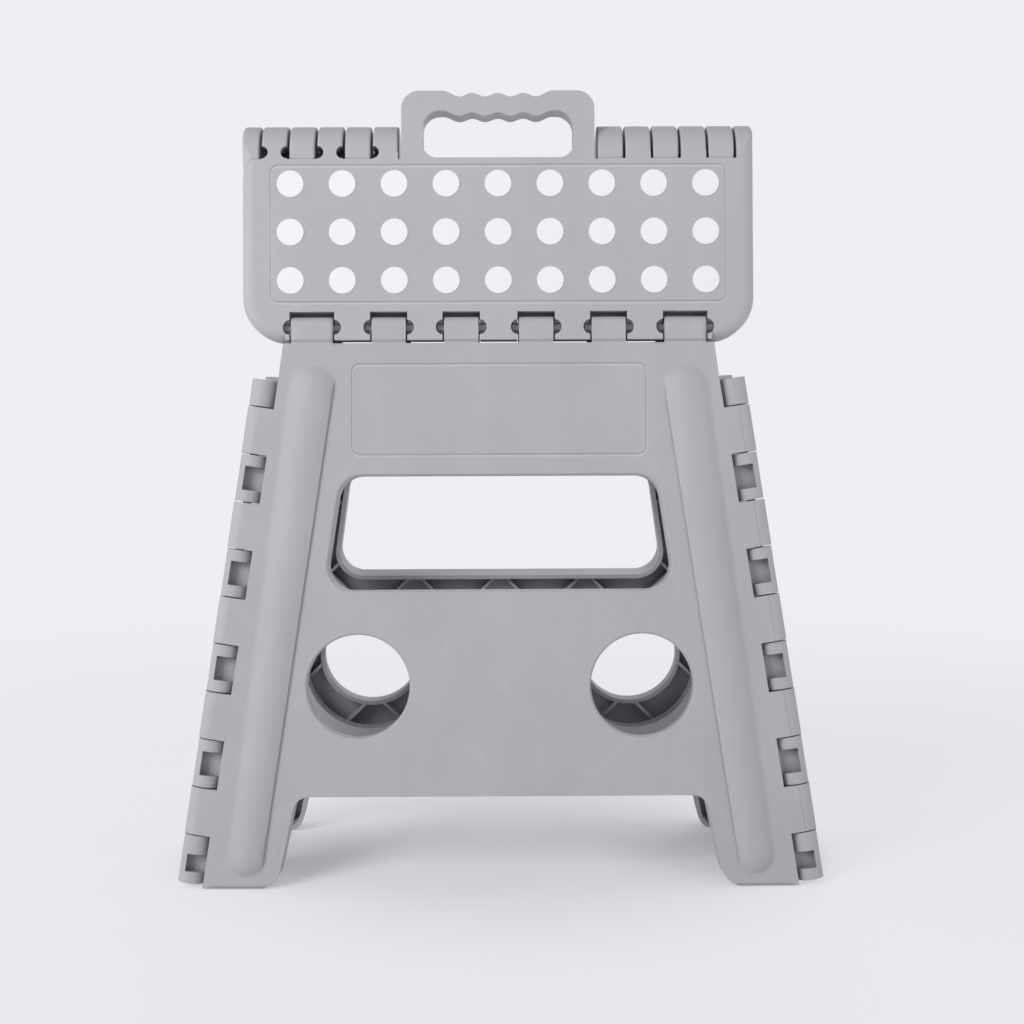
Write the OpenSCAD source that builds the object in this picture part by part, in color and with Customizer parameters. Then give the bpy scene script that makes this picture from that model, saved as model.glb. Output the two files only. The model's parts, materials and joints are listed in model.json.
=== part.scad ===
// Plastic folding step stool, standing on its feet with the seat folded up.
// +Z is up, the front leg faces -Y, and the origin lies on the floor midway between the legs.
// Each half is drawn in its own frame: X across, Y from the outer face inwards, Z up the panel,
// with its origin on the hinge between the seat half and its leg.

/* [Stance] */
// Lean of each leg from the vertical, in degrees
leg_lean = 6.5; // [5.5:0.5:7.5]
// Height of the leg hinges above the floor
hinge_h = 318; // [316:0.5:322]
// Distance from the leg hinge to the centre hinge, along the seat half
hinge_span = 100.8; // [99:0.2:104]

/* [Seat] */
// Width of the seat
seat_w = 294.6; // [292:0.2:300]
// Depth of a seat half from its face to its underside
seat_t = 18.4; // [17.5:0.1:19]
// Plan radius of the outer corners of the seat
seat_corner_r = 25; // [20:0.5:30]
// Thickness of the seat's skin and side walls
seat_skin = 2.5; // [2:0.1:3]
// Thickness of the ribs under the seat
seat_rib_t = 1.8; // [1.4:0.1:2.4]
// Depth of the ribs under the seat
seat_rib_h = 9; // [6:0.5:11]

// Width of the fine groove that frames the tread
frame_groove_w = 0.8; // [0.5:0.1:1.2]
// Depth of the fine grooves
groove_d = 0.3; // [0.2:0.05:0.5]

/* [Tread dots] */
// Radius of an anti-slip dot
dot_r = 7.8; // [6:0.1:8.5]
// Distance between dots across the seat
dot_pitch_x = 29.8; // [28:0.1:31]
// Distance between rows of dots
dot_pitch_z = 27.8; // [25:0.1:28.5]
// Height of the lowest row above the leg hinge
dot_row_z = 26.9; // [26:0.1:28]
// How deep a dot sits in the skin
dot_sink = 1; // [0.6:0.1:1.4]
// How far a dot stands out of the skin
dot_proud = 0.5; // [0.3:0.1:0.8]

/* [Leg hinge] */
// Depth of the leg hinge pins behind the outer faces, which is also the radius of the seat's rim
axis_d = 7.5; // [7.2:0.1:8]
// Radius of the leg's knuckles
leg_knuckle_r = 6.2; // [5:0.1:6.4]
// Gap beside each leg knuckle
leg_knuckle_gap = 0.9; // [0.6:0.1:1.3]
// Height of the seat's notch above the hinge pins
leg_notch_h = 8.9; // [8.6:0.1:9.6]
// Radius of the moulded stub pins
pin_r = 3; // [2.6:0.1:3.2]
// Length of a stub pin inside its socket
pin_in = 3; // [2.4:0.1:3.6]

/* [Centre hinge] */
// Width of a centre knuckle
comb_w = 14.5; // [14:0.1:14.6]
// Gap between centre knuckles
comb_gap = 1.45; // [1.2:0.05:1.6]
// Depth of the slits between the centre knuckles, below the centre hinge
comb_slit = 4; // [3.8:0.1:5]
// Radius of the half-round snap channels in the centre knuckles
snap_r = 3.6; // [3.3:0.1:3.8]

/* [Handle] */
// Width of the handle
handle_w = 111; // [106:0.5:112]
// Height of the handle above the centre hinge
handle_rise = 35.1; // [33:0.1:37]
// Thickness of the handle
handle_t = 15; // [13:0.5:18]
// Width of the hand opening
grip_w = 86.4; // [80:0.2:88]
// Distance of the hand opening's lower edge below the centre hinge
grip_drop = 3.4; // [2:0.1:4.8]
// Distance of the hand opening's rounded top corners below the top of the handle
grip_bar = 11.5; // [10.5:0.1:13]
// Gap beside the handle
handle_gap = 1.9; // [1.5:0.1:2.4]
// Distance between finger dents
finger_pitch = 14.7; // [14:0.1:15]
// Depth of a finger dent between two crests
finger_dent = 2; // [1:0.1:2.4]

/* [Leg] */
// Thickness of a leg panel, from its face to the back of its walls
leg_t = 17; // [16.5:0.1:18]
// Thickness of the leg's skin and walls
leg_skin = 2.5; // [2:0.1:3]
// How far the side hinge lines lie in from the sides of the seat, at the height of the leg hinge
side_in = 17; // [16.3:0.1:17.8]
// Slant of the leg's side edges, in degrees
side_slant = 8.6; // [8.2:0.1:9]
// Height of the cross bar's lower edge, measured along the leg from the level of its hinge height
bar_up = 49.4; // [47:0.2:52]
// How far the feet's inner sides at the cross bar lie in from the upper ends of the side hinge lines
foot_side = 13.3; // [11:0.1:16]
// Thickness of the leg's ribs
leg_rib_t = 1.8; // [1.4:0.1:2.4]
// Horizontal distance between crossings of the leg's diagonal ribs
lattice_pitch = 53; // [45:0.5:60]
// How far the plain field above the window lies in from the upper ends of the side hinge lines
field_side = 45.7; // [44.5:0.1:50]
// Distance from the field's lower edge to the window
field_gap = 11.5; // [10:0.1:14]
// Distance of the field's upper edge below the leg hinge
field_top = 20.8; // [19:0.2:23]
// Height of the raised columns beside the window
ridge_h = 4.5; // [3:0.1:5.5]

/* [Leg openings] */
// Distance of the window's upper edge below the leg hinge
window_top = 85.1; // [83:0.1:87]
// Distance from the window's lower edge down to the middles of the round openings
window_up = 54.6; // [53:0.1:57]
// How far the window's sides lie in from the side hinge lines
window_side = 52.4; // [51.2:0.1:56]
// Corner radius of the window
window_r = 14.4; // [10:0.2:18]
// Radius of the round openings
port_r = 29.45; // [26:0.05:30]
// How far the middles of the round openings lie in from the upper ends of the side hinge lines
port_side = 49.1; // [47.5:0.1:50.5]
// Distance from the middles of the round openings down to the cross bar's lower edge
port_up = 63; // [61:0.2:65]
// Bevel round the window and the round openings
bevel = 0.9; // [0.4:0.1:1.2]

/* [Side hinge] */
// Depth of the side hinge line behind the leg's outer face
side_axis_d = 7.7; // [7.6:0.05:7.9]
// Distance from one bracket of the side hinge to the next
bracket_pitch = 54.95; // [54.6:0.05:55.2]
// Length of a bracket knuckle on the side panel
bracket_l = 27; // [26:0.1:28]
// Gap between the ends of the side knuckles
side_gap = 0.7; // [0.5:0.05:0.9]
// Depth of the notches for the brackets, measured in from the hinge line
notch_in = 8.3; // [8.1:0.1:8.8]

/* [Side panels] */
// Thickness of a side panel's skin
wing_skin = 2.5; // [2:0.1:2.8]
// Depth of a side panel's walls and ribs behind its skin
wing_rib_h = 4.5; // [3.5:0.1:4.7]
// Width of the stile beside the side panel's window
wing_stile = 40; // [36:0.5:42]
// Radius of the round opening in a side panel
wing_port_r = 38; // [36.5:0.1:39]
// Radius of the knuckles where two side panels meet
mid_r = 4.5; // [4:0.1:5]

/* [Feet] */
// How far the rubber pads stand out under the feet
pad_proud = 0.8; // [0.5:0.1:1.2]
// How deep the pads sit in the feet
pad_sink = 1.2; // [0.8:0.1:1.6]
// Length of a pad along the foot
pad_l = 24; // [18:0.5:26]
// Width of a pad across the foot
pad_w = 10; // [7:0.5:11]

/* [Hidden] */
$fn = 96;

// Fits and overruns
over = 1;
reach = 400;
fit = 0.05;
run_gap = 0.3;

// Stance
fold = 90 - leg_lean;
side_half = seat_w / 2 - side_in;
centre_y = seat_t - axis_d;
half_y = centre_y * cos(leg_lean) + hinge_span * sin(leg_lean);
face_y = -axis_d;
seat_back_y = seat_t - axis_d;
leg_back_y = leg_t - axis_d;

// Leg hinge
rim_r = axis_d;
top_clear = 0.8;
leg_top_gap = rim_r + top_clear;
sweep_z = 14.2;
sweep_in = 5.1;
sweep_half = side_half - sweep_in;
knuckle_in = 23.2;
knuckle_out = 21.5;
knuckle_lead = 1.2;
// Middle and half length of each knuckle, from the side inwards
leg_knuckles = [
    [side_half - knuckle_in, 11.95],
    [(side_half - knuckle_in + knuckle_out) / 2 - knuckle_lead, 9.75],
    [knuckle_out, 9.85]
];
knuckle_nose_r = 4.4;
pit_r = 4.35;
pit_in = 0.5;
finger_edge_r = 0.8;
snap_bite = 0.3;
snap_neck = pin_r - snap_bite;

// Centre hinge
comb_x0 = handle_w / 2 + handle_gap;
comb_pitch = comb_w + comb_gap;
comb_n = round((seat_w / 2 - comb_x0) / comb_pitch);
comb_under = 0.1;
slot_clear = 0.4;
comb_wall = 3.3;
comb_end = 0.5;
comb_r = seat_t - comb_under;
slot_r = comb_r + slot_clear;
comb_core_r = comb_r - comb_wall;
comb_side = pin_in + comb_end;
comb_edge_r = 1.2;
end_edge_r = 2.2;
core_y = 9;

// Groove round the tread and round the field above the window
tread_in = 16.4;
tread_low = 14.1;
tread_top_in = 7.2;
tread_half = seat_w / 2 - tread_in;
tread_top = hinge_span - tread_top_in;
tread_r = 4.6;
field_r = 4.9;

// Handle
handle_r = 10.3;
grip_r = 9.8;
grip_low_r = 8;
crest_drop = 1.4;
bar_crest_drop = 1;
dent_run_share = 0.65;
notch_clear = 1.6;
notch_reach = handle_rise + notch_clear;
handle_top = hinge_span + handle_rise;
grip_low = hinge_span - grip_drop;
grip_top = handle_top - grip_bar;

// Heights and half widths of the leg's openings, from its hinge down
bar_low = hinge_h - bar_up;
port_z = bar_low - port_up;
window_low = port_z - window_up;
field_low = window_top - field_gap;
field_half = side_half - field_side;
window_half = side_half - window_side;
port_x = side_half - port_side;
foot_in = side_half - foot_side;

// Side hinge and leg outline
side_under = 0.2;
bracket_under = 0.3;
side_y = side_axis_d - axis_d;
side_r = side_axis_d - side_under;
bracket_r = side_r - bracket_under;
neck_out = 0.45;
cap_z = 29.6;
cap_top = 30;
cap_l = 15.5;
first_bracket = 87.3;
bracket_n = floor((hinge_h - first_bracket) / bracket_pitch) + 1;
tab_d = 6.4;
lattice_d = 7.4;
ring_d = 9;
foot_taper = 0.215;
foot_over = 2.6;
foot_low = hinge_h + foot_over;
foot_r = 14;
foot_fillet = 9;
foot_edge_r = 1;
side_pin_r = 2.5;
side_pin_l = 3.2;

// Raised columns: distance in from the hinge line and width, at the top and at the bottom
ridge_top_z = 31.6;
ridge_rise = 17;
ridge_low_z = hinge_h - ridge_rise;
ridge_in = 40.2;
ridge_w_top = 24.6;
ridge_w_low = 20.3;
ridge_crest_share = 0.54;

// Folded and open angles of the side panels, measured from the plane of their leg
wing_open = atan2(cos(leg_lean), -sin(side_slant) * sin(leg_lean));
wing_rest = wing_open - fold;
wing_taper = asin(cos(side_slant) * sin(leg_lean));
wing_s0 = (hinge_span - side_y * cos(leg_lean)) / cos(wing_taper);
wing_front_y = -2;
wing_skin_y = wing_front_y + wing_rib_h;
wing_back_y = wing_skin_y + wing_skin;
wing_mid_y = (wing_front_y + wing_back_y) / 2;
edge_clear = 0.7;
wing_edge = side_r + edge_clear;
wing_gap = 0.4;
wing_wall = 2.2;
wing_foot_w = 34;
wing_r = 10;
wing_nose_r = 3;
wing_foot_r = 6;
wing_edge_r = 1;
mid_l = 9;
mid_clear = 0.5;

// Levels of the side panel, as heights over the leg hinge, beside the leg's own openings
window_lift = 20.4;
window_sink = 0.2;
port_lift = 5;
arch_lift = 19;
foot_lift = 17.5;
wing_top_h = -19.6;
wing_window_h = [window_lift - window_top, -window_low - window_sink];
wing_port = [78.5, port_lift - port_z];
wing_arch_h = arch_lift - bar_low;
wing_foot_h = foot_lift - hinge_h;
mid_counts = [
    floor((wing_top_h - wing_window_h[0]) / (mid_l + mid_clear)),
    floor((wing_window_h[1] - wing_arch_h) / (mid_l + mid_clear))
];

// Arms and spine of a bracket
bracket_arm = 6.6;
foot_arms = [6.6, 10.7];
spine_w = 4;
foot_clear = 0.5;

// Points and outlines
function unit(v) = v / norm(v);
function turn(a) = a > 180 ? a - 360 : a < -180 ? a + 360 : a;
function arc_pts(c, r, a0, sweep, n) =
    [for (i = [0:n]) let (a = a0 + sweep * i / n) c + r * [cos(a), sin(a)]];
function round_corner(p, a, b, r, n) =
    let (u = unit(a - p), v = unit(b - p), half = acos(u * v) / 2)
    let (c = p + unit(u + v) * r / sin(half))
    let (q0 = p + u * r / tan(half) - c, q1 = p + v * r / tan(half) - c)
    let (a0 = atan2(q0[1], q0[0]), a1 = atan2(q1[1], q1[0]))
    arc_pts(c, r, a0, turn(a1 - a0), n);
// Outline whose corners are rounded, with one radius for each point
function soften(pts, rs, n = 10) =
    let (k = len(pts))
    [for (i = [0:k - 1]) each rs[i] <= 0 ? [pts[i]] :
        round_corner(pts[i], pts[(i + k - 1) % k], pts[(i + 1) % k], rs[i], n)];
// Outline moved inwards by d; its points run counter-clockwise
function inset(pts, d) =
    let (k = len(pts))
    [for (i = [0:k - 1])
        let (u = unit(pts[i] - pts[(i + k - 1) % k]), v = unit(pts[(i + 1) % k] - pts[i]))
        let (m = [-u[1], u[0]], n = [-v[1], v[0]])
        pts[i] + d * (m + n) / (1 + m * n)];
// Radius of each corner after the outline has moved inwards by d
function inset_r(pts, rs, d) =
    let (k = len(pts))
    [for (i = [0:k - 1])
        let (u = pts[i] - pts[(i + k - 1) % k], v = pts[(i + 1) % k] - pts[i])
        rs[i] <= 0 ? 0 : u[0] * v[1] - u[1] * v[0] > 0 ? max(rs[i] - d, 0) : rs[i] + d];
function flip(pts) = [for (i = [len(pts) - 1:-1:0]) [-pts[i][0], pts[i][1]]];

// A flat shape in X and Z, given thickness from y0 to y1
module slab(y0, y1) {
    translate([0, y1, 0]) rotate([90, 0, 0]) linear_extrude(y1 - y0) children();
}

// A round bar along X
module rod_x(x0, x1, r) {
    translate([x0, 0, 0]) rotate([0, 90, 0]) cylinder(h = x1 - x0, r = r);
}

// A block from one corner to the other
module block(a, b) {
    translate(a) cube(b - a);
}

module on_front() {
    translate([0, -half_y, hinge_h]) rotate([-leg_lean, 0, 0]) children();
}

module on_back() {
    rotate([0, 0, 180]) on_front() children();
}

// Frame of the left side hinge: X in from the hinge line, Y inwards, Z along the line
module side_frame() {
    translate([-side_half, side_y, 0]) rotate([0, side_slant, 0]) children();
}

module both_sides() {
    children();
    mirror([1, 0, 0]) children();
}

// A cut through a panel with a bevelled rim at the outer face, round corners and straight sides
module bevelled_cut(pts, r, depth) {
    core = inset(pts, r);
    k = len(core);
    slab(face_y - over, face_y + depth) polygon(core);
    for (i = [0:k - 1]) {
        p = core[i];
        q = core[(i + 1) % k];
        run = norm(q - p);
        translate([p[0], face_y + depth, p[1]]) rotate([90, 0, 0]) cylinder(h = depth + over, r = r);
        translate([p[0], face_y + bevel, p[1]]) rotate([90, 0, 0])
            cylinder(h = bevel + over, r1 = r, r2 = r + bevel + over);
        translate([p[0], 0, p[1]]) rotate([0, -atan2(q[1] - p[1], q[0] - p[0]), 0]) rotate([90, 0, 90])
            linear_extrude(run)
                polygon([
                    [face_y + depth, -r], [face_y + bevel, -r], [face_y - over, -r - bevel - over],
                    [face_y - over, r + bevel + over], [face_y + bevel, r], [face_y + depth, r]
                ]);
    }
}

// Cross-section of the seat's rim, moved inwards by i; its first axis points out of the seat
module rim_section(i) {
    r = rim_r - i;
    intersection() {
        circle(r);
        translate([0, -r]) square([r, r]);
    }
    square([r, seat_back_y + (i > 0 ? over : 0)]);
}

// Outer form of a seat half, moved inwards by i
module tread_form(i) {
    straight = seat_w / 2 - seat_corner_r;
    bend = seat_corner_r - rim_r;
    depth = seat_back_y + (i > 0 ? over : 0);
    slab(face_y + i, depth) {
        translate([-straight, 0]) square([2 * straight, hinge_span]);
        translate([-seat_w / 2 + rim_r, bend]) square([seat_w - 2 * rim_r, hinge_span - bend]);
        for (s = [-1, 1]) translate([s * straight, bend]) circle(bend);
    }
    both_sides() {
        translate([straight, 0, bend]) rotate([90, 0, 0]) rotate([0, 0, -90]) mirror([0, 0, 1])
            rotate_extrude(angle = 90) translate([bend, 0]) rim_section(i);
        translate([seat_w / 2 - rim_r, 0, bend]) linear_extrude(hinge_span - bend) rim_section(i);
    }
    translate([-straight, 0, 0]) rotate([0, 90, 0]) linear_extrude(2 * straight) rim_section(i);
}

// Fingers between the leg's knuckles, flat in front down to a small edge
module finger_fronts() {
    straight = seat_w / 2 - seat_corner_r;
    low = -rim_r + finger_edge_r;
    block([-straight, face_y, low], [straight, 0, 0]);
    block([-straight, face_y + finger_edge_r, -rim_r], [straight, 0, 0]);
    translate([0, face_y + finger_edge_r, low]) rod_x(-straight, straight, finger_edge_r);
}

// Room that the top of the leg sweeps as the stool opens
module leg_sweep() {
    block([-sweep_half, rim_r, -reach], [sweep_half, reach, sweep_z]);
    difference() {
        block([-sweep_half, 0, -reach], [sweep_half, reach, 0]);
        rod_x(-sweep_half - over, sweep_half + over, rim_r);
    }
}

// Notches for the leg's knuckles, with the snap channels and sockets for their stub pins
module leg_notches() {
    for (k = leg_knuckles) both_sides() {
        w = k[1] + leg_knuckle_gap;
        block([k[0] - w, -reach, -reach], [k[0] + w, rim_r - seat_skin, leg_notch_h]);
        block([k[0] - w, -reach, -reach], [k[0] + w, reach, leg_knuckle_r + run_gap]);
        for (e = [-1, 1]) translate([k[0] + e * w, 0, 0]) {
            rod_x(-pin_in - run_gap, pin_in + run_gap, pin_r + fit);
            translate([-e * pit_in, -pin_r, 0]) rotate([90, 0, 0]) cylinder(h = reach, r = pit_r);
            block([-pin_in - run_gap, -pin_r - over, -snap_neck], [pin_in + run_gap, 0, snap_neck]);
        }
    }
}

// A fine groove along a rounded rectangle on the outer face
module groove(a, b, r) {
    pts = [a, [b[0], a[1]], b, [a[0], b[1]]];
    inner = r - frame_groove_w;
    slab(face_y - over, face_y + groove_d) difference() {
        polygon(soften(pts, [r, r, r, r], 6));
        polygon(soften(inset(pts, frame_groove_w), [inner, inner, inner, inner], 6));
    }
}

// Whether knuckle k belongs to this half: every second one, shifted by one between left and right
function own(k, side) = (k + (side > 0 ? 1 : 0)) % 2 == 0;
function comb_a(k) = comb_x0 + k * comb_pitch;
function comb_b(k) = k == comb_n - 1 ? seat_w / 2 : comb_a(k) + comb_w;

// One round knuckle of the centre hinge, with its edges rounded
module comb_barrel(k) {
    a = comb_a(k);
    b = comb_b(k);
    last = k == comb_n - 1;
    pts = [[0, a], [comb_r, a], [comb_r, b], [0, b]];
    translate([0, centre_y, hinge_span]) intersection() {
        rotate([0, 90, 0])
            rotate_extrude() polygon(soften(pts, [0, comb_edge_r, last ? end_edge_r : comb_edge_r, 0], 6));
        // the end knuckle carries on the rounding of the seat's sides
        if (last) translate([0, 0, -seat_t - over]) linear_extrude(2 * seat_t + 2 * over) {
            translate([a - over, -seat_t + rim_r]) square([b - a + over, 2 * seat_t - 2 * rim_r]);
            translate([a - over, -seat_t]) square([b - a + over - rim_r, 2 * seat_t]);
            for (e = [-1, 1]) translate([b - rim_r, e * (seat_t - rim_r)]) circle(rim_r);
        }
        else block([a - over, -seat_t - over, -seat_t - over], [b + over, seat_t + over, seat_t + over]);
    }
}

// The hollow inside a knuckle, open downwards into the seat half
module comb_core(k) {
    a = comb_a(k) + comb_side;
    b = comb_b(k) - comb_side;
    translate([0, centre_y, hinge_span]) {
        rod_x(a, b, comb_core_r);
        block([a, -core_y, -comb_r - seat_skin - over], [b, core_y, 0]);
    }
}

// Room for one knuckle of the other half, and the slits beside it
module comb_slot(k) {
    a = comb_a(k) - comb_gap;
    b = k == comb_n - 1 ? seat_w / 2 + over : comb_b(k) + comb_gap;
    block([a, -reach, hinge_span - comb_slit], [b, reach, reach]);
    translate([0, centre_y, hinge_span]) rod_x(a, b, slot_r);
}

// Sockets in the left knuckles, open to the face through half-round snap channels
module comb_sockets(k) {
    for (e = [comb_a(k), comb_b(k)]) if (e > comb_x0 && e < seat_w / 2)
        translate([e, centre_y, hinge_span]) {
            rod_x(-pin_in - run_gap, pin_in + run_gap, pin_r + fit);
            translate([0, -pin_r, 0]) rotate([90, 0, 0]) cylinder(h = reach, r = snap_r);
            block([-pin_in - run_gap, -pin_r - over, -snap_neck], [pin_in + run_gap, 0, snap_neck]);
        }
}

// Stub pins on the right knuckles
module comb_pins(k) {
    a = comb_a(k);
    b = comb_b(k);
    translate([0, centre_y, hinge_span]) {
        if (a > comb_x0) rod_x(a - comb_gap - pin_in, a + over, pin_r);
        if (k < comb_n - 1) rod_x(b - over, b + comb_gap + pin_in, pin_r);
    }
}

dot_n = floor((tread_half - dot_r) / dot_pitch_x);
function dot_x(i) = i * dot_pitch_x;
function dot_z(row) = dot_row_z + row * dot_pitch_z;
// A dot is left out where the back half is cut away for the handle
function has_dot(i, row, back) =
    let (clear = dot_r + seat_skin)
    !back || abs(dot_x(i)) > comb_x0 + clear || dot_z(row) < hinge_span - notch_reach - clear;

module dot_places(row, back) {
    for (i = [-dot_n:dot_n]) if (has_dot(i, row, back))
        translate([dot_x(i), face_y, dot_z(row)]) rotate([-90, 0, 0]) children();
}

module tread_dots(row, back) {
    dot_places(row, back) {
        translate([0, 0, -dot_proud / 2]) cylinder(h = dot_proud / 2 + dot_sink, r = dot_r);
        translate([0, 0, -dot_proud]) cylinder(h = dot_proud / 2, r1 = dot_r - dot_proud / 2, r2 = dot_r);
    }
}

// Outline of the room that the back half leaves for the handle, grown by g
module handle_room(g) {
    w = comb_x0 + g;
    low = hinge_span - notch_reach - g;
    r = handle_r + handle_gap + g;
    polygon(soften([[-w, low], [w, low], [w, reach], [-w, reach]], [r, r, 0, 0]));
}

module seat_ribs() {
    back = face_y + seat_skin + seat_rib_h;
    for (row = [0, 1]) {
        z = dot_z(row) + dot_pitch_z / 2;
        block([-reach, face_y + over, z - seat_rib_t / 2], [reach, back, z + seat_rib_t / 2]);
    }
    for (i = [0:dot_n - 1], s = [-1, 1]) {
        x = s * (i + 0.5) * dot_pitch_x;
        block([x - seat_rib_t / 2, face_y + over, -reach], [x + seat_rib_t / 2, back, reach]);
    }
}

// Hollow of a seat half, behind its skin
module seat_hollow(back) {
    difference() {
        intersection() {
            tread_form(seat_skin);
            union() {
                block([-reach, -reach, sweep_z + seat_skin], [reach, reach, reach]);
                both_sides() block([sweep_half + seat_skin, -reach, -reach], [reach, reach, reach]);
            }
        }
        translate([0, centre_y, hinge_span]) rod_x(-reach, reach, slot_r + seat_skin);
        if (back) slab(-reach, reach) handle_room(seat_skin);
        else block([-comb_x0, -reach, grip_low - seat_skin], [comb_x0, reach, reach]);
        seat_ribs();
    }
    // pockets in the fingers between the leg knuckles
    for (i = [0:len(leg_knuckles) - 1]) both_sides() {
        hi = leg_knuckles[i][0] - leg_knuckles[i][1] - leg_knuckle_gap - pit_r - seat_rib_t;
        lo = i == len(leg_knuckles) - 1 ? 0 :
            leg_knuckles[i + 1][0] + leg_knuckles[i + 1][1] + leg_knuckle_gap + pit_r + seat_rib_t;
        if (hi > lo) block([lo, face_y + 2 * seat_skin, -rim_r / 2], [hi, reach, sweep_z - seat_skin]);
    }
}

// Seat half in its own frame
module seat_half(back) {
    difference() {
        union() {
            difference() {
                union() {
                    tread_form(0);
                    finger_fronts();
                }
                seat_hollow(back);
                leg_sweep();
                for (k = [0:comb_n - 1], s = [-1, 1]) if (!own(k, s))
                    mirror([s < 0 ? 1 : 0, 0, 0]) comb_slot(k);
                if (back) slab(-reach, reach) handle_room(0);
                else block([-comb_x0, -reach, grip_low - over], [comb_x0, reach, reach]);
            }
            for (k = [0:comb_n - 1], s = [-1, 1]) if (own(k, s)) mirror([s < 0 ? 1 : 0, 0, 0]) comb_barrel(k);
            for (k = [0:comb_n - 1]) if (own(k, 1)) comb_pins(k);
            if (!back) handle();
        }
        for (k = [0:comb_n - 1], s = [-1, 1]) if (own(k, s)) mirror([s < 0 ? 1 : 0, 0, 0]) comb_core(k);
        for (k = [0:comb_n - 1]) if (own(k, -1)) mirror([1, 0, 0]) comb_sockets(k);
        leg_notches();
        if (!back) groove([-tread_half, tread_low], [tread_half, tread_top], tread_r);
        for (row = [0:2]) dot_places(row, back)
            translate([0, 0, -over]) cylinder(h = over + dot_sink, r = dot_r + fit);
    }
}

// Wavy edges of the grip: crests at the centre and between the fingers, flat beyond the last dent
last_dent = 1.5 * finger_pitch;
dent_run = dent_run_share * finger_pitch;
function wave(x, crest, dip, flat) =
    abs(x) < last_dent ? (crest + dip) / 2 + (crest - dip) / 2 * cos(360 * x / finger_pitch) :
    dip + (flat - dip) * (1 - cos(180 * min((abs(x) - last_dent) / dent_run, 1))) / 2;
grip_steps = 24;
grip_end = last_dent + dent_run;
function wave_pts(crest, dip, flat) =
    [for (i = [-grip_steps:grip_steps]) let (x = grip_end * i / grip_steps) [x, wave(x, crest, dip, flat)]];
function reversed(pts) = [for (i = [len(pts) - 1:-1:0]) pts[i]];

module handle_outline() {
    w = handle_w / 2;
    top = handle_top;
    low = grip_low - 2 * seat_skin;
    crest = top - crest_drop;
    difference() {
        polygon(concat(
            [[-w, low], [w, low]],
            arc_pts([w - handle_r, top - handle_r], handle_r, 0, 90, 12),
            reversed(wave_pts(crest, crest - finger_dent, top)),
            arc_pts([-w + handle_r, top - handle_r], handle_r, 90, 90, 12)
        ));
        grip_outline();
    }
}

module grip_outline() {
    w = grip_w / 2;
    crest = grip_top - bar_crest_drop;
    polygon(concat(
        arc_pts([-w + grip_low_r, grip_low + grip_low_r], grip_low_r, 180, 90, 10),
        arc_pts([w - grip_low_r, grip_low + grip_low_r], grip_low_r, 270, 90, 10),
        arc_pts([w - grip_r, grip_top - grip_r], grip_r, 0, 90, 10),
        reversed(wave_pts(crest, crest - finger_dent, grip_top)),
        arc_pts([-w + grip_r, grip_top - grip_r], grip_r, 90, 90, 10)
    ));
}

module handle() {
    slab(face_y, face_y + handle_t) handle_outline();
}

// Leg outline, clockwise distances from the hinge line
function axis_x(z) = side_half - z * tan(side_slant);
function notch_x(z) = axis_x(z) - notch_in / cos(side_slant);
function foot_x(z) = foot_in - foot_taper * (z + bar_low);
leg_right = [
    [foot_x(-bar_low), -bar_low], [foot_x(-foot_low), -foot_low], [notch_x(-foot_low), -foot_low],
    [notch_x(-cap_z), -cap_z], [notch_x(0) + neck_out, 0]
];
leg_right_r = [foot_fillet, foot_r, foot_edge_r, 0, 0];
leg_pts = concat(leg_right, flip(leg_right));
leg_pts_r = concat(leg_right_r, reversed(leg_right_r));

function window_x(z) = window_half - z * tan(side_slant);
window_pts = [
    [-window_x(-window_low), -window_low], [window_x(-window_low), -window_low],
    [window_x(-window_top), -window_top], [-window_x(-window_top), -window_top]
];

module leg_hollow_outline() {
    difference() {
        polygon(soften(inset(leg_pts, leg_skin), inset_r(leg_pts, leg_pts_r, leg_skin)));
        polygon(soften(inset(window_pts, -leg_skin), [for (p = window_pts) window_r + leg_skin]));
        for (s = [-1, 1]) translate([s * port_x, -port_z]) circle(port_r + leg_skin);
        block_2d([-reach, -axis_d - 2 * leg_skin], [reach, reach]);
        translate([0, leg_skin / cos(leg_lean)]) block_2d([-reach, -reach], [reach, -foot_low + leg_skin]);
    }
}

module block_2d(a, b) {
    translate(a) square(b - a);
}

// Diagonal ribs on the back of the leg, between the raised columns
module leg_lattice() {
    rows = [for (i = [-6:6]) i * lattice_pitch];
    slab(face_y + leg_skin - over, face_y + leg_skin + lattice_d)
        intersection() {
            union() {
                for (x = rows, a = [-45, 45]) translate([x, -window_low]) rotate(a)
                    block_2d([-leg_rib_t / 2, -reach], [leg_rib_t / 2, reach]);
                for (s = [-1, 1]) translate([s * side_half, 0]) rotate(s * side_slant)
                    block_2d([-s * ridge_in - leg_rib_t, -reach], [-s * ridge_in + leg_rib_t / 2, reach]);
            }
            difference() {
                leg_hollow_outline();
                for (s = [-1, 1]) translate([s * side_half, 0]) rotate(s * side_slant)
                    block_2d([min(-s * ridge_in, s * reach), -reach], [max(-s * ridge_in, s * reach), reach]);
            }
        }
}

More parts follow.
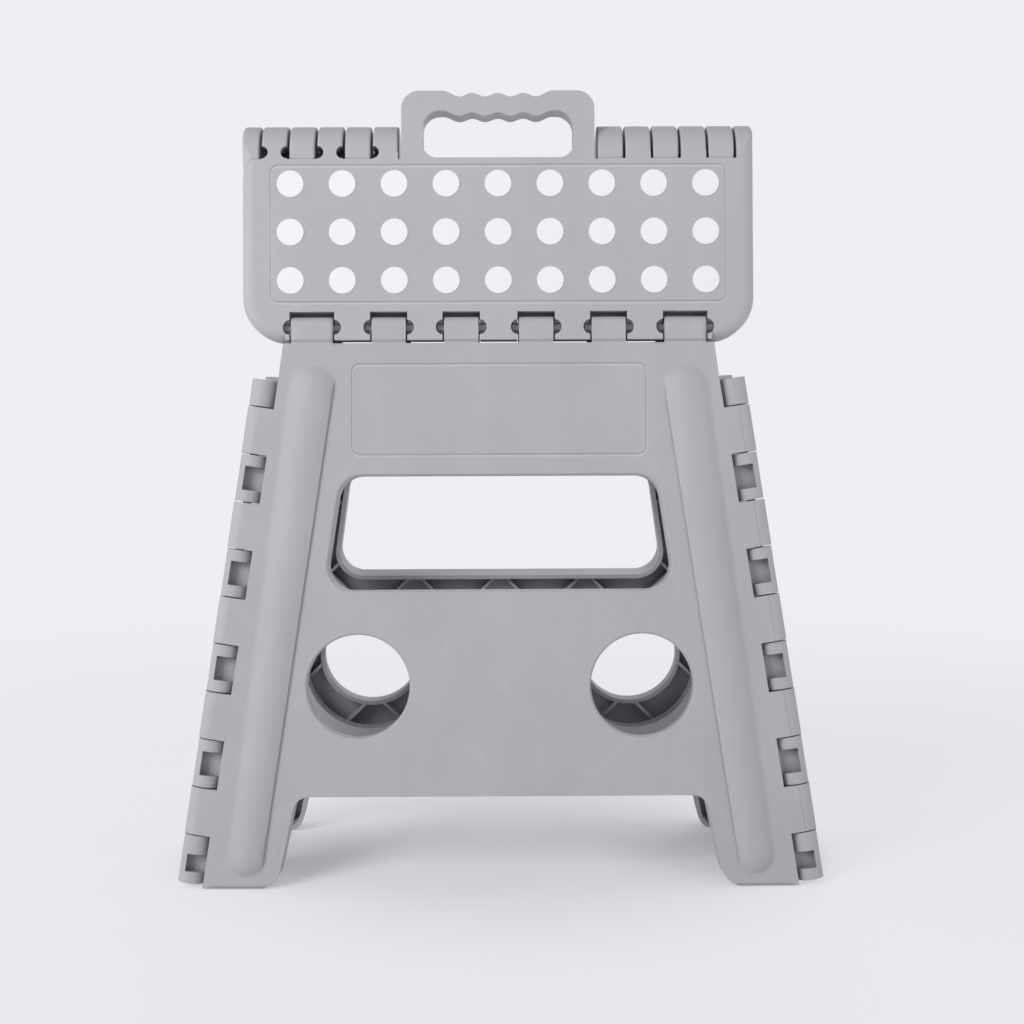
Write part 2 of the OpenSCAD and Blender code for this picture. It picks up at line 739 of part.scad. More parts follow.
// Raised column beside the window, tapering downwards, with domed ends; g takes its skin off
module ridge_form(g) {
    crest = [ridge_crest_share * ridge_w_top, ridge_crest_share * ridge_w_low];
    r = [for (c = crest) (c * c + ridge_h * ridge_h) / (2 * ridge_h)];
    s = [ridge_in - ridge_w_top + crest[0], ridge_in - ridge_w_low + crest[1]];
    top = [s[0], face_y - side_y - ridge_h + r[0], -ridge_top_z];
    low = [s[1], face_y - side_y - ridge_h + r[1], -ridge_low_z];
    d = low - top;
    run = norm(d);
    tilt = acos(d[2] / run);
    swing = atan2(d[1], d[0]);
    slope = asin((r[0] - r[1]) / run);
    n = 16;
    profile = concat(
        arc_pts([0, 0], r[0] - g, -90, 90 + slope, n),
        arc_pts([0, run], r[1] - g, slope, 90 - slope, n)
    );
    intersection() {
        translate(top) rotate([0, tilt, swing]) rotate([0, 0, -swing]) rotate_extrude() polygon(profile);
        block(
            [-reach, face_y - side_y - 2 * ridge_h, -reach],
            [ridge_in - g, face_y - side_y + (g > 0 ? leg_skin + over : 0), reach]
        );
    }
}

// Bracket places along the side hinge: the cap first, then the brackets, from the top down
function bracket_mid(k) = -first_bracket - k * bracket_pitch;
foot_t = -(hinge_h - pad_proud - foot_clear - side_r * side_slant / 45) / cos(side_slant) / cos(leg_lean);
function bracket_end(k) = k == bracket_n - 1 ? foot_t : bracket_mid(k) - bracket_l / 2;
wing_runs = concat(
    [[-cap_top - cap_l, -cap_top]],
    [for (k = [0:bracket_n - 1]) [bracket_end(k), bracket_mid(k) + bracket_l / 2]]
);
leg_runs = [for (k = [0:bracket_n - 1]) [wing_runs[k + 1][1] + side_gap, wing_runs[k][0] - side_gap]];

// Knuckles on the leg's side edge
module leg_side_knuckles() {
    side_frame() for (run = leg_runs) {
        translate([0, 0, run[0]]) cylinder(h = run[1] - run[0], r = side_r);
        block([0, face_y - side_y, run[0]], [notch_in + over, face_y - side_y + tab_d, run[1]]);
    }
}

module leg_side_bores() {
    side_frame() for (run = leg_runs) translate([0, 0, run[0] - over])
        cylinder(h = run[1] - run[0] + 2 * over, r = side_pin_r + fit);
}

// Knuckles of the leg hinge, with their stub pins
module leg_top_knuckles() {
    for (k = leg_knuckles) both_sides() {
        nose = knuckle_nose_r;
        rod_x(k[0] - k[1], k[0] + k[1], leg_knuckle_r);
        block([k[0] - k[1], 0, -axis_d - 2 * leg_skin], [k[0] + k[1], leg_knuckle_r, 0]);
        block([k[0] - k[1], face_y, -axis_d - 2 * leg_skin], [k[0] + k[1], 0, leg_knuckle_r - nose]);
        block([k[0] - k[1], face_y + nose, 0], [k[0] + k[1], 0, leg_knuckle_r]);
        translate([0, face_y + nose, leg_knuckle_r - nose]) rod_x(k[0] - k[1], k[0] + k[1], nose);
        rod_x(k[0] - k[1] - leg_knuckle_gap - pin_in, k[0] + k[1] + leg_knuckle_gap + pin_in, pin_r);
    }
}

// Leg panel in its own frame
module leg_half() {
    difference() {
        union() {
            difference() {
                slab(face_y, leg_back_y) polygon(soften(leg_pts, leg_pts_r));
                slab(face_y + leg_skin, leg_back_y + over) leg_hollow_outline();
                slab(face_y + ring_d, leg_back_y + over)
                    for (s = [-1, 1]) translate([s * port_x, -port_z]) circle(port_r + 2 * leg_skin);
                // the side panel folds in here
                both_sides() side_frame() rotate([0, 0, wing_rest]) {
                    y = wing_front_y - run_gap;
                    low = leg_skin + side_gap - foot_low;
                    block([-reach, y, low], [ridge_in + wing_skin, reach, over - cap_top]);
                    block([-reach, y, -reach], [wing_edge + wing_wall + side_gap, reach, -cap_top]);
                }
            }
            leg_lattice();
            both_sides() side_frame() ridge_form(0);
            both_sides() leg_side_knuckles();
        }
        both_sides() side_frame() ridge_form(leg_skin);
        both_sides() leg_side_bores();
        bevelled_cut(window_pts, window_r, leg_t + over);
        for (s = [-1, 1]) translate([s * port_x, 0, -port_z]) rotate([90, 0, 0]) {
            translate([0, 0, -leg_back_y - over]) cylinder(h = leg_t + 2 * over, r = port_r);
            translate([0, 0, -face_y - bevel])
                cylinder(h = bevel + over, r1 = port_r, r2 = port_r + bevel + over);
        }
        // level top, just under the open seat, and level feet
        rotate([leg_lean, 0, 0]) block([-reach, -reach, -leg_top_gap], [reach, reach, reach]);
        rotate([leg_lean, 0, 0]) block([-reach, -reach, -reach], [reach, reach, pad_proud - hinge_h]);
        foot_pad_room(fit);
        groove([-field_half, -field_low], [field_half, -field_top], field_r);
    }
    leg_top_knuckles();
}

// The left foot's rubber pad, let into the sole, in the leg's frame and grown by g
pad_x = (foot_x(-foot_low) + foot_r + notch_x(-foot_low)) / 2 - wing_wall;
module foot_pad(g, proud) {
    sole = pad_proud - hinge_h;
    pad_y = (leg_t / 2 - axis_d) / cos(leg_lean) + sole * tan(leg_lean);
    rotate([leg_lean, 0, 0]) translate([-pad_x, pad_y, sole])
        block([-pad_l / 2 - g, -pad_w / 2 - g, -proud], [pad_l / 2 + g, pad_w / 2 + g, pad_sink]);
}

module foot_pad_room(g) {
    both_sides() foot_pad(g, over);
}

// Outline of a side panel in the frame of its free edge: X = 0 is that edge, and level lines
// stay level when the panel is open
module mid_frame() {
    translate([wing_s0, 0, 0]) rotate([0, -wing_taper, 0]) children();
}
function at_h(s, h) =
    let (t = (h + (s - wing_s0) * sin(wing_taper)) / cos(wing_taper))
    [(s - wing_s0) * cos(wing_taper) + t * sin(wing_taper), h];
wing_pts = [
    at_h(wing_edge, wing_foot_h), at_h(wing_foot_w, wing_foot_h), at_h(wing_foot_w, wing_arch_h),
    [-wing_gap, wing_arch_h], [-wing_gap, wing_window_h[1]], at_h(wing_stile, wing_window_h[1]),
    at_h(wing_stile, wing_window_h[0]), [-wing_gap, wing_window_h[0]], [-wing_gap, wing_top_h],
    at_h(wing_edge, wing_top_h)
];
wing_pts_r = [
    wing_edge_r, wing_foot_r, 2 * wing_r, wing_nose_r, wing_nose_r,
    wing_r, wing_r, wing_nose_r, wing_nose_r, wing_edge_r
];

module wing_port_2d(g) {
    rotate(-wing_taper) translate([wing_port[0] - wing_s0, wing_port[1]]) circle(wing_port_r + g);
}

// Stiffening ribs behind the skin of a side panel
module wing_ribs() {
    slab(wing_front_y + over, wing_skin_y + over) intersection() {
        difference() {
            polygon(soften(inset(wing_pts, over), inset_r(wing_pts, wing_pts_r, over)));
            wing_port_2d(over);
        }
        for (i = [-8:4], a = [-45, 45]) translate([0, i * lattice_pitch / 1.5]) rotate(a)
            block_2d([-reach, -leg_rib_t / 2], [reach, leg_rib_t / 2]);
    }
}

// Places of the knuckles on the free edge; the front and back panels take turns
mid_tops = [wing_top_h - wing_wall, wing_window_h[1] - wing_wall / 2];
mid_starts = [for (g = [0, 1]) for (i = [0:mid_counts[g] - 1]) mid_tops[g] - i * (mid_l + mid_clear)];

module wing_mid_knuckles(turn_of) {
    for (i = [0:len(mid_starts) - 1]) if (i % 2 == turn_of)
        translate([0, wing_mid_y, mid_starts[i] - mid_l]) difference() {
            union() {
                cylinder(h = mid_l, r = mid_r);
                block([-mid_r - wing_wall, -mid_r + over, 0], [0, mid_r - over, mid_l]);
            }
            translate([0, 0, -over]) cylinder(h = mid_l + 2 * over, r = mid_r / 2);
        }
}

module wing_mid_notches(turn_of) {
    for (i = [0:len(mid_starts) - 1]) if (i % 2 != turn_of) {
        top = mid_starts[i];
        block([-mid_r - mid_clear, -reach, top - mid_l - mid_clear], [reach, reach, top + mid_clear]);
    }
}

// Bracket knuckles of a side panel, with their stub pins and the pocket that faces out when folded
module wing_brackets() {
    difference() {
        for (run = wing_runs) {
            translate([0, 0, run[0]]) cylinder(h = run[1] - run[0], r = bracket_r);
            block([0, wing_front_y, run[0]], [wing_edge + wing_wall, wing_back_y, run[1]]);
        }
        for (k = [1:bracket_n]) {
            low = wing_runs[k][0] + (k == bracket_n ? foot_arms[0] : bracket_arm);
            top = wing_runs[k][1] - (k == bracket_n ? foot_arms[1] : bracket_arm);
            rotate([0, 0, -wing_rest])
                block([-bracket_r + spine_w, -reach, low], [wing_edge + wing_wall + over, 0, top]);
        }
    }
    pin = side_pin_l + side_gap;
    for (i = [0:bracket_n]) {
        run = wing_runs[i];
        if (i > 0) translate([0, 0, run[1] - over]) cylinder(h = pin + over, r = side_pin_r);
        if (i < bracket_n) translate([0, 0, run[0] - pin]) cylinder(h = pin + over, r = side_pin_r);
    }
}

// Side panel in the frame of its hinge line, laid in the plane of its leg
module wing(turn_of) {
    wing_brackets();
    difference() {
        union() {
            difference() {
                mid_frame() slab(wing_front_y, wing_back_y) difference() {
                    polygon(soften(wing_pts, wing_pts_r));
                    wing_port_2d(0);
                }
                mid_frame() slab(wing_front_y - over, wing_skin_y) difference() {
                    polygon(soften(inset(wing_pts, wing_wall), inset_r(wing_pts, wing_pts_r, wing_wall)));
                    wing_port_2d(wing_wall);
                }
            }
            mid_frame() wing_ribs();
            mid_frame() wing_mid_knuckles(turn_of);
        }
        mid_frame() wing_mid_notches(turn_of);
    }
}

module folded_wing(turn_of) {
    side_frame() rotate([0, 0, wing_rest]) wing(turn_of);
}

module leg_front() {
    color([0.69, 0.69, 0.71]) on_front() leg_half();
}

module leg_back() {
    color([0.69, 0.69, 0.71]) on_back() leg_half();
}

module seat_front() {
    color([0.73, 0.73, 0.75]) on_front() seat_half(false);
}

module seat_back() {
    color([0.73, 0.73, 0.75]) on_back() seat_half(true);
}

module side_panel_front_left() {
    color([0.7, 0.7, 0.72]) on_front() folded_wing(0);
}

module side_panel_front_right() {
    color([0.7, 0.7, 0.72]) on_front() mirror([1, 0, 0]) folded_wing(0);
}

module side_panel_back_left() {
    color([0.7, 0.7, 0.72]) on_back() mirror([1, 0, 0]) folded_wing(1);
}

module side_panel_back_right() {
    color([0.7, 0.7, 0.72]) on_back() folded_wing(1);
}

module dots_front_row_1() {
    color("white") on_front() tread_dots(2, false);
}

module dots_front_row_2() {
    color("white") on_front() tread_dots(1, false);
}

module dots_front_row_3() {
    color("white") on_front() tread_dots(0, false);
}

module dots_back_row_1() {
    color("white") on_back() tread_dots(2, true);
}

module dots_back_row_2() {
    color("white") on_back() tread_dots(1, true);
}

module dots_back_row_3() {
    color("white") on_back() tread_dots(0, true);
}

module foot_pad_front_left() {
    color([0.25, 0.25, 0.26]) on_front() foot_pad(0, pad_proud);
}

module foot_pad_front_right() {
    color([0.25, 0.25, 0.26]) on_front() mirror([1, 0, 0]) foot_pad(0, pad_proud);
}

module foot_pad_back_left() {
    color([0.25, 0.25, 0.26]) on_back() mirror([1, 0, 0]) foot_pad(0, pad_proud);
}

module foot_pad_back_right() {
    color([0.25, 0.25, 0.26]) on_back() foot_pad(0, pad_proud);
}

leg_front();
leg_back();
seat_front();
seat_back();
side_panel_front_left();
side_panel_front_right();
side_panel_back_left();
side_panel_back_right();
dots_front_row_1();
dots_front_row_2();
dots_front_row_3();
dots_back_row_1();
dots_back_row_2();
dots_back_row_3();
foot_pad_front_left();
foot_pad_front_right();
foot_pad_back_left();
foot_pad_back_right();
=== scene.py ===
import json
import math

import bpy
import numpy as np
from mathutils import Matrix, Vector

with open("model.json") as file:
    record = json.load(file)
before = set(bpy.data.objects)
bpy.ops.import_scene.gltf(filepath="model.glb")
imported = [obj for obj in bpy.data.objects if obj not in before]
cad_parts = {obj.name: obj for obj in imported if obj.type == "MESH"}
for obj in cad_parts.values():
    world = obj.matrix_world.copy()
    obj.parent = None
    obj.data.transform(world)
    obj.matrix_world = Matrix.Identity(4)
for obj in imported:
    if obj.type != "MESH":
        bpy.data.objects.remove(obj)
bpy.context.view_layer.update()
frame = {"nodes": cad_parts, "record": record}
nodes = frame["nodes"]
print("stool: frame loaded,", len(nodes), "nodes")


# ---- shader helpers ----
class Flow:
    # a socket that takes part in sums and products
    def __init__(self, net, socket):
        self.net = net
        self.socket = socket

    def math(self, operation, other=None, swap=False):
        values = [self, other]
        if swap:
            values.reverse()
        inputs = {i: v for i, v in enumerate(values) if v is not None}
        return self.net.add("ShaderNodeMath", {"operation": operation}, inputs)

    def __add__(self, other):
        return self.math("ADD", other)

    def __sub__(self, other):
        return self.math("SUBTRACT", other)

    def __mul__(self, other):
        return self.math("MULTIPLY", other)

    def __rsub__(self, other):
        return self.math("SUBTRACT", other, swap=True)

    def __pow__(self, other):
        return self.math("POWER", other)

    def size(self):
        return self.math("ABSOLUTE")

    def most(self, other):
        return self.math("MAXIMUM", other)

    def least(self, other):
        return self.math("MINIMUM", other)

    __radd__ = __add__
    __rmul__ = __mul__


class Net:
    # node tree of one material
    def __init__(self, name):
        self.material = bpy.data.materials.new(name)
        self.material.use_nodes = True
        self.tree = self.material.node_tree
        self.tree.nodes.clear()

    def add(self, kind, settings=None, inputs=None, out=0):
        node = self.tree.nodes.new(kind)
        for key, value in (settings or {}).items():
            setattr(node, key, value)
        for key, value in (inputs or {}).items():
            socket = node.inputs[key]
            if isinstance(value, Flow):
                self.tree.links.new(value.socket, socket)
            else:
                socket.default_value = value
        return Flow(self, node.outputs[out]) if len(node.outputs) else None

    def axis(self, vector, which):
        # one number of a vector: 0 is x, 1 is y, 2 is z
        return self.add("ShaderNodeSeparateXYZ", {}, {0: vector}, out=which)

    def finish(self, shader):
        self.add("ShaderNodeOutputMaterial", {}, {"Surface": shader})
        return self.material

    def place(self, scale=(1, 1, 1), shift=(0, 0, 0)):
        # object coordinates in metres, stretched or shifted
        coord = self.add("ShaderNodeTexCoord", out="Object")
        return self.add("ShaderNodeMapping", {}, {"Vector": coord, "Scale": scale, "Location": shift})

    def noise(self, where, scale, detail=3.0, rough=0.55, twist=0.0):
        return self.add(
            "ShaderNodeTexNoise", {},
            {"Vector": where, "Scale": scale, "Detail": detail, "Roughness": rough, "Distortion": twist},
        )

    def ramp(self, value, low, high):
        # 0 below low, 1 above high, smooth between
        return self.add(
            "ShaderNodeMapRange", {"interpolation_type": "SMOOTHSTEP"},
            {"Value": value, "From Min": low, "From Max": high, "To Min": 0.0, "To Max": 1.0},
        )

    def band(self, value, low, high, soft):
        # 1 between low and high, with soft ends
        return self.ramp(value, low - soft, low + soft) * (1.0 - self.ramp(value, high - soft, high + soft))

    def panel(self):
        # place across, height along the panel over the leg hinge, distance in from the side hinge
        coord = self.add("ShaderNodeTexCoord", out="Object")
        x, z = self.axis(coord, 0), self.axis(coord, 2)
        up = (z - panelSet["hinge"]) * (1 / panelSet["cosLean"])
        inward = (panelSet["half"] - x.size() - up * panelSet["slope"]) * panelSet["cosSlant"]
        return x, up, inward

    def bump(self, strength, depth, height, normal):
        inputs = {"Strength": strength, "Distance": depth, "Height": height, "Normal": normal}
        return self.add("ShaderNodeBump", {}, inputs)

    def mix(self, factor, a, b, blend="MIX"):
        node = self.tree.nodes.new("ShaderNodeMix")
        node.data_type = "RGBA"
        node.blend_type = blend
        for socket, value in ((node.inputs[0], factor), (node.inputs[6], a), (node.inputs[7], b)):
            if isinstance(value, Flow):
                self.tree.links.new(value.socket, socket)
            else:
                socket.default_value = value
        return Flow(self, node.outputs[2])


def linear(r, g, b):
    # 8-bit screen colour to the linear colour a shader takes
    def one(c):
        c = c / 255
        return c / 12.92 if c <= 0.04045 else ((c + 0.055) / 1.055) ** 2.4
    return (one(r), one(g), one(b), 1.0)


# ---- moulded plastic ----
# where a panel lies: level of the leg hinge, cosine of its lean, half width there, slope of its sides
# and the cosine of that slope
panelSet = {"hinge": 0.318, "cosLean": 0.99357, "half": 0.1303, "slope": 0.1512, "cosSlant": 0.98876}
plasticSet = {
    # frame: half width, lowest and highest level and corner radius of the grooved field
    "seat": {"colour": (181, 180, 185), "seed": 0.0, "rough": 0.5, "frame": (0.1309, 0.0141, 0.0936, 0.0046)},
    "leg": {"colour": (179, 178, 183), "seed": 3.7, "rough": 0.5, "frame": (0.0846, -0.0736, -0.0208, 0.0049)},
    "side": {"colour": (178, 177, 182), "seed": 7.1, "rough": 0.5},
    "dustColour": (214, 213, 217),
    "dustShare": 0.1,
    "wornAndLitRimColour": (212, 211, 215),
    "wornAndLitRimShare": 0.12,
    # tone: the least, then what clouds and streaks add and what sinks change, and the painted highlight in the
    # grooves and painted shade at the creases and in the cells
    "leastTone": 0.965,
    "cloudTone": 0.04,
    "streakTone": 0.035,
    "grooveHighlightTone": 0.16,
    "sinkTone": 0.035,
    "creaseShadeTone": 0.3,
    "cellShadeTone": 0.55,
    "cellShadeReach": 0.03,
    # patterns: how fine each noise is, and the run of values over which it takes effect
    "cloudSize": 14.0,
    "speckSize": 1400.0,
    "grainSize": 2600.0,
    "waveSize": 42.0,
    "meltSize": 30.0,
    "streakStretch": (30.0, 30.0, 3.2),
    "streakShift": 1.3,
    "cloudRun": (0.35, 0.7),
    "streakRun": (0.4, 0.75),
    "speckRun": (0.62, 0.8),
    "meltRun": (0.42, 0.66),
    "cellShadeRun": (0.0, 0.8),
    "facingRun": (0.9, 0.97),
    "rimRun": (0.004, 0.16),
    # roughness added by clouds and grain, and taken off by worn rims
    "cloudDull": 0.1,
    "grainDull": 0.05,
    "rimShine": 0.06,
    "cloudDullRun": (0.3, 0.8),
    "grainDullRun": (0.3, 0.7),
    # ribs behind the skin, and the grooves round the fields
    "ribPitch": 0.053,
    "ribSlant": 0.7071,
    "ribLevel": -0.151,
    "ribHalf": 0.0009,
    "ribFade": 3.5,
    "grooveIn": 0.0004,
    "grooveHalf": 0.0003,
    "grooveFade": 0.0009,
    # raised columns, and the band of painted shade at the fingers' roots, in from the side hinge or up from the
    # leg hinge
    "columnOuter": (0.0115, 0.0245, 0.001),
    "columnWhole": (0.0115, 0.0435, 0.001),
    "columnEnds": (-0.292, -0.041, 0.004),
    "fingerRootShade": (-0.0077, -0.0063, 0.0008),
    "bevelRadius": 0.0004,
    "softRadius": 0.0038,
    "grainDepth": 0.00003,
    "waveDepth": 0.00016,
    "sinkDepth": 0.8,
}


def ribMarks(net, x, up, melt):
    # faint sink marks where the crossed ribs run behind the skin, broken up by the flow of the melt
    pitch, half = plasticSet["ribPitch"], plasticSet["ribHalf"]
    along = up - plasticSet["ribLevel"]
    nearest = []
    for slant in (x + along, x - along):
        step = (slant * (1 / pitch) + 0.5).math("FRACT") - 0.5
        nearest.append(step.size() * (pitch * plasticSet["ribSlant"]))
    mark = 1.0 - net.ramp(nearest[0].least(nearest[1]), half, half * plasticSet["ribFade"])
    facing = net.axis(net.add("ShaderNodeTexCoord", out="Normal"), 1)
    front = net.ramp(facing.size(), *plasticSet["facingRun"])
    return mark * front * net.ramp(melt, *plasticSet["meltRun"])


def frameLine(net, x, up, box):
    # 1 in the fine groove that runs round a flat field, from the distance to a rounded rectangle
    half, low, high, r = box
    across = x.size() - (half - r)
    along = (up - (low + high) / 2).size() - ((high - low) / 2 - r)
    corner = (across.most(0.0) ** 2.0 + along.most(0.0) ** 2.0).math("SQRT")
    depth = corner + across.most(along).least(0.0) - r + plasticSet["grooveIn"]
    return 1.0 - net.ramp(depth.size(), plasticSet["grooveHalf"], plasticSet["grooveFade"])


def mouldedPlastic(name, spec):
    # satin polypropylene: eroded grain, faint flow streaks, slight sink waves, and paler edges that are partly
    # wear and partly a painted highlight
    net = Net(name)
    use = plasticSet
    here = net.place(shift=(spec["seed"], 0.0, 0.0))
    drawn = net.place(use["streakStretch"], (spec["seed"], use["streakShift"], 0.0))
    cloud = net.noise(here, use["cloudSize"], 3.0, 0.5)
    streak = net.noise(drawn, 1.0, 4.0, 0.6, 1.4)
    speck = net.noise(here, use["speckSize"], 2.0, 0.6)
    grain = net.noise(here, use["grainSize"], 2.0, 0.55)
    wave = net.noise(here, use["waveSize"], 2.0, 0.5)
    tone = use["leastTone"] + use["cloudTone"] * net.ramp(cloud, *use["cloudRun"])
    tone = tone + use["streakTone"] * net.ramp(streak, *use["streakRun"])
    # painted shade: the deep cells between the ribs are darkened by the object's own ambient occlusion
    cellShade = net.add(
        "ShaderNodeAmbientOcclusion", {"samples": 6, "only_local": True}, {"Distance": use["cellShadeReach"]}, out="AO"
    )
    tone = tone * (use["cellShadeTone"] + (1 - use["cellShadeTone"]) * net.ramp(cellShade, *use["cellShadeRun"]))
    radius, height = use["bevelRadius"], wave
    if "frame" in spec:
        x, up, inward = net.panel()
        # painted highlight: the fine groove round the field is painted paler than the field
        tone = tone * (1.0 + use["grooveHighlightTone"] * frameLine(net, x, up, spec["frame"]))
    if name == "legPlastic":
        sink = ribMarks(net, x, up, net.noise(here, use["meltSize"], 3.0, 0.6))
        height = wave - use["sinkDepth"] * sink
        # sink marks a little paler, and painted shade: a soft dark line where each finger leaves the top edge
        tone = tone * (1.0 + use["sinkTone"] * sink)
        tone = tone * (1.0 - use["creaseShadeTone"] * net.band(up, *use["fingerRootShade"]))
        # the raised columns flow into the face on their outer side and at their ends
        outer = net.band(inward, *use["columnOuter"])
        whole = net.band(inward, *use["columnWhole"])
        ends = 1.0 - net.band(up, *use["columnEnds"])
        radius = radius + use["softRadius"] * outer.most(whole * ends)
    # rounded rims: the bevel's normal leaves the face's own normal only near an edge
    rounded = net.add("ShaderNodeBevel", {"samples": 8}, {"Radius": radius})
    flat = net.add("ShaderNodeNewGeometry", out="Normal")
    near = net.add("ShaderNodeVectorMath", {"operation": "DOT_PRODUCT"}, {0: rounded, 1: flat}, out="Value")
    rim = net.ramp(1.0 - near, *use["rimRun"])
    toned = net.add("ShaderNodeCombineColor", {}, {0: tone, 1: tone, 2: tone})
    tint = net.mix(1.0, linear(*spec["colour"]), toned, "MULTIPLY")
    dust = net.ramp(speck, *use["speckRun"]) * use["dustShare"]
    tint = net.mix(dust, tint, linear(*use["dustColour"]))
    # edges painted paler: partly wear, partly a painted highlight where the rounded rims catch the light; not on
    # the legs
    if name != "legPlastic":
        tint = net.mix(rim * use["wornAndLitRimShare"], tint, linear(*use["wornAndLitRimColour"]))
    dull = spec["rough"] + use["cloudDull"] * net.ramp(cloud, *use["cloudDullRun"]) - use["rimShine"] * rim
    dull = dull + use["grainDull"] * net.ramp(grain, *use["grainDullRun"])
    low = net.bump(0.35, use["waveDepth"], height, rounded)
    bump = net.bump(0.5, use["grainDepth"], grain, low)
    shader = net.add(
        "ShaderNodeBsdfPrincipled", {},
        {"Base Color": tint, "Roughness": dull, "Normal": bump, "IOR": 1.49, "Specular IOR Level": 0.42},
    )
    return net.finish(shader)


# ---- rubber ----
rubberSet = {
    "dot": {"colour": (241, 241, 243), "seed": 1.9, "rough": 0.62},
    "pad": {"colour": (92, 92, 95), "seed": 5.2, "rough": 0.78},
    "scuffColour": (200, 199, 202),
    "scuffShare": 0.06,
    "scuffSize": 60.0,
    "scuffRun": (0.55, 0.9),
    "scuffDull": 0.12,
    "scuffDullRun": (0.4, 0.8),
    "pimpleSize": 900.0,
    "pimpleDepth": 0.00004,
    "bevelRadius": 0.0004,
}


def softRubber(name, spec):
    # matt elastomer with pimpled surface and a trace of scuffing
    net = Net(name)
    use = rubberSet
    here = net.place(shift=(spec["seed"], 0.0, 0.0))
    scuff = net.noise(here, use["scuffSize"], 5.0, 0.65, 0.6)
    pimple = net.add(
        "ShaderNodeTexVoronoi", {"feature": "SMOOTH_F1"},
        {"Vector": here, "Scale": use["pimpleSize"], "Smoothness": 0.6},
    )
    scuffed = net.ramp(scuff, *use["scuffRun"]) * use["scuffShare"]
    tint = net.mix(scuffed, linear(*spec["colour"]), linear(*use["scuffColour"]))
    rounded = net.add("ShaderNodeBevel", {"samples": 6}, {"Radius": use["bevelRadius"]})
    bump = net.bump(0.4, use["pimpleDepth"], pimple, rounded)
    dull = spec["rough"] + use["scuffDull"] * net.ramp(scuff, *use["scuffDullRun"])
    shader = net.add(
        "ShaderNodeBsdfPrincipled", {}, {"Base Color": tint, "Roughness": dull, "Normal": bump, "IOR": 1.45}
    )
    return net.finish(shader)


slotMaterial = {key: mouldedPlastic(key + "Plastic", plasticSet[key]) for key in ("seat", "leg", "side")}
slotMaterial.update({key: softRubber(key + "Rubber", rubberSet[key]) for key in ("dot", "pad")})
for part in frame["record"]["subparts"]:
    thing = nodes[part["node"]]
    for place in thing.material_slots:
        place.material = slotMaterial[part["material_slot"]]
print("stool: materials on", len(nodes), "nodes")


# ---- floor, lights and camera ----
stageSet = {
    "floorRadius": 6.0,
    "ringCount": 24,
    "turnCount": 96,
    "floorColour": (240, 239, 244),
    "farColour": (239, 238, 243),
    # share of the backdrop's colour in what the camera sees of the floor
    "middleShare": 0.26,
    "outerShare": 0.74,
    "footShare": 0.2,
    "outerRun": (0.06, 0.22),
    "fadeRun": (0.3, 1.2),
    "footAcross": 0.128,
    "footRun": (0.02, 0.085),
}


def floorMesh():
    # disc of radius floorRadius on z = 0: rings, wider apart outwards, by angles, closed at the centre
    n = stageSet["turnCount"]
    rings = np.linspace(0.0, 1.0, stageSet["ringCount"] + 1)[1:] ** 2 * stageSet["floorRadius"]
    turns = np.linspace(0, 2 * np.pi, n + 1)[:-1]
    r, a = np.meshgrid(rings, turns, indexing="ij")
    points = np.stack([r * np.cos(a), r * np.sin(a), 0 * r], -1).reshape(-1, 3)
    points = np.vstack([points, [[0, 0, 0]]])
    i, j = np.meshgrid(np.arange(len(rings) - 1), np.arange(n), indexing="ij")
    after = (j + 1) % n
    quads = np.stack([i * n + j, (i + 1) * n + j, (i + 1) * n + after, i * n + after], -1).reshape(-1, 4)
    k = np.arange(n)
    fans = np.stack([0 * k + len(points) - 1, k, (k + 1) % n], -1)
    mesh = bpy.data.meshes.new("paleFloor")
    mesh.from_pydata(points.tolist(), [], quads.tolist() + fans.tolist())
    return mesh


def floorPaint():
    # matt floor that takes the shadow and fades into the backdrop
    use = stageSet
    net = Net("paleFloor")
    coord = net.add("ShaderNodeTexCoord", out="Object")
    away = net.add("ShaderNodeVectorMath", {"operation": "LENGTH"}, {0: coord}, out="Value")
    fade = net.ramp(away, *use["fadeRun"])
    across = net.axis(coord, 0).size() - use["footAcross"]
    foot = (across ** 2.0 + net.axis(coord, 1) ** 2.0).math("SQRT")
    clear = net.ramp(foot, *use["footRun"])
    outer = net.ramp(away, *use["outerRun"])
    pale = use["middleShare"] + (use["outerShare"] - use["middleShare"]) * outer
    pale = pale * (use["footShare"] + (1 - use["footShare"]) * clear)
    matt = net.add("ShaderNodeBsdfDiffuse", {}, {"Color": linear(*use["floorColour"])})
    far = net.add("ShaderNodeEmission", {}, {"Color": linear(*use["farColour"]), "Strength": 1.0})
    # the camera sees the floor part way to the backdrop, so its shadow stays pale away from the feet
    seen = net.add("ShaderNodeLightPath", out="Is Camera Ray")
    share = fade + (1 - fade) * pale * seen
    return net.finish(net.add("ShaderNodeMixShader", {}, {0: share, 1: matt, 2: far}))


def paleFloor():
    mesh = floorMesh()
    mesh.materials.append(floorPaint())
    floor = bpy.data.objects.new("paleFloor", mesh)
    bpy.context.scene.collection.objects.link(floor)


def paleWorld():
    # even ambient light, and the plain studio background for the camera
    world = bpy.data.worlds.new("paleStudio")
    bpy.context.scene.world = world
    world.use_nodes = True
    tree = world.node_tree
    tree.nodes.clear()
    path = tree.nodes.new("ShaderNodeLightPath")
    seen = tree.nodes.new("ShaderNodeBackground")
    seen.inputs["Color"].default_value = linear(*stageSet["farColour"])
    lit = tree.nodes.new("ShaderNodeBackground")
    lit.inputs["Color"].default_value = lightSet["ambientColour"]
    lit.inputs["Strength"].default_value = lightSet["ambient"]
    pick = tree.nodes.new("ShaderNodeMixShader")
    out = tree.nodes.new("ShaderNodeOutputWorld")
    tree.links.new(path.outputs["Is Camera Ray"], pick.inputs[0])
    tree.links.new(lit.outputs[0], pick.inputs[1])
    tree.links.new(seen.outputs[0], pick.inputs[2])
    tree.links.new(pick.outputs[0], out.inputs[0])


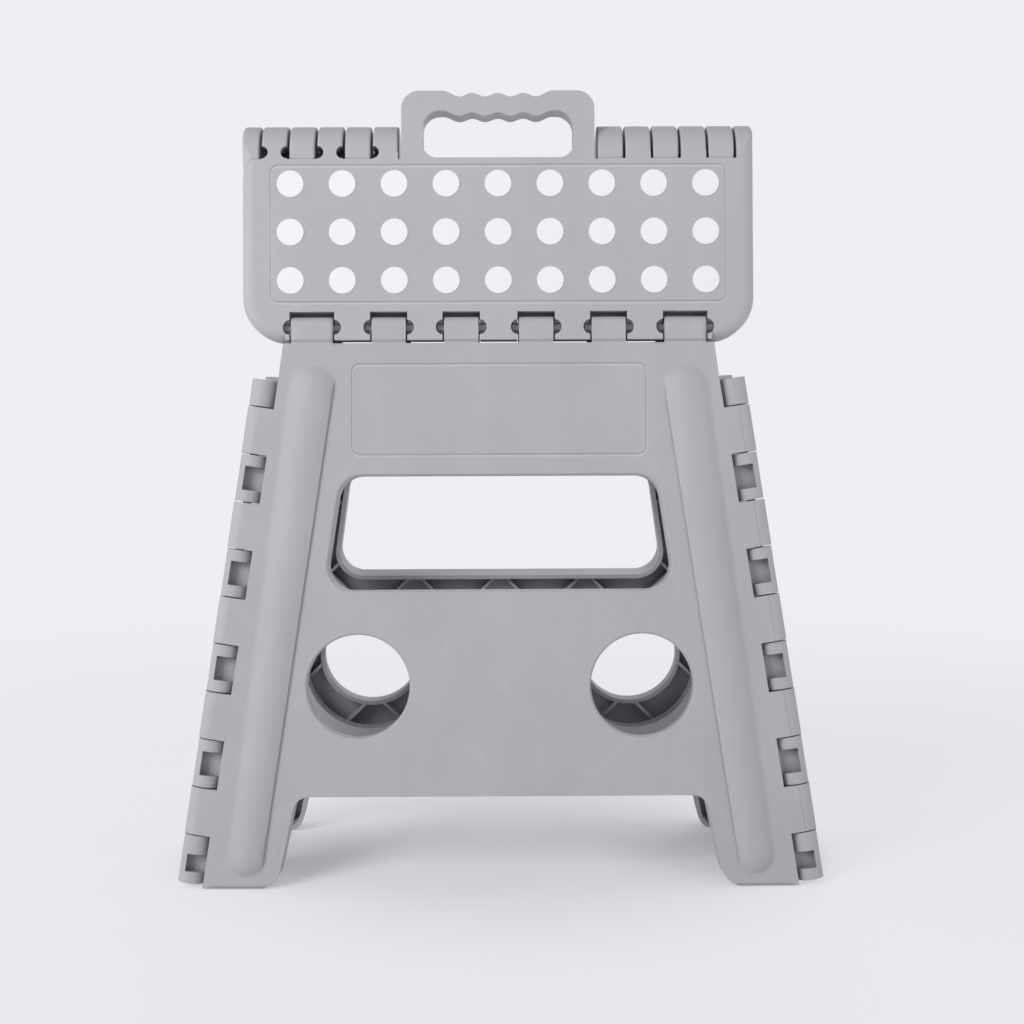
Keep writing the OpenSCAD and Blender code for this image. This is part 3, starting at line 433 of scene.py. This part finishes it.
lightSet = {
    "ambient": 0.37,
    "ambientColour": (1.0, 0.995, 1.0, 1.0),
    "aim": (0.0, 0.0, 0.2),
    "key": {"at": (-1.5, -1.65, 1.35), "size": 1.1, "power": 31.5},
    "fill": {"at": (1.5, -1.9, 0.9), "size": 1.6, "power": 6.5},
    "back": {"at": (0.5, 2.1, 1.1), "size": 1.6, "power": 15.0},
    "left": {"at": (-2.1, 0.1, 0.7), "size": 1.2, "power": 7.0},
    "right": {"at": (2.1, 0.1, 0.7), "size": 1.2, "power": 7.0},
}


def areaLight(name, spec):
    lamp = bpy.data.lights.new(name, "AREA")
    lamp.size = spec["size"]
    lamp.energy = spec["power"]
    thing = bpy.data.objects.new(name, lamp)
    bpy.context.scene.collection.objects.link(thing)
    thing.location = spec["at"]
    thing.rotation_euler = (Vector(lightSet["aim"]) - Vector(spec["at"])).to_track_quat("-Z", "Y").to_euler()


# angles in degrees, focal length in pixels of the photograph's frame
cameraSet = {
    "at": (0.00085, -0.9718, 0.3057),
    "down": 5.678,
    "right": 0.386,
    "roll": -0.22,
    "focalPixels": 1633.0,
    "framePixels": 1024,
    "sensor": 36.0,
}


def photoCamera():
    down, side, roll = (math.radians(cameraSet[k]) for k in ("down", "right", "roll"))
    ahead = Vector((math.sin(side) * math.cos(down), math.cos(side) * math.cos(down), -math.sin(down)))
    across = Vector((math.cos(side), -math.sin(side), 0.0))
    up = across.cross(ahead)
    x = across * math.cos(roll) + up * math.sin(roll)
    y = up * math.cos(roll) - across * math.sin(roll)
    data = bpy.data.cameras.new("photoCamera")
    data.sensor_width = cameraSet["sensor"]
    data.lens = cameraSet["sensor"] * cameraSet["focalPixels"] / cameraSet["framePixels"]
    data.clip_start = 0.01
    thing = bpy.data.objects.new("photoCamera", data)
    bpy.context.scene.collection.objects.link(thing)
    thing.matrix_world = Matrix.Translation(cameraSet["at"]) @ Matrix((x, y, -ahead)).transposed().to_4x4()
    bpy.context.scene.camera = thing


paleFloor()
paleWorld()
for key in ("key", "fill", "back", "left", "right"):
    areaLight(key + "Light", lightSet[key])
photoCamera()
bpy.context.scene.view_settings.view_transform = "Standard"
print("stool: floor, lights and camera")
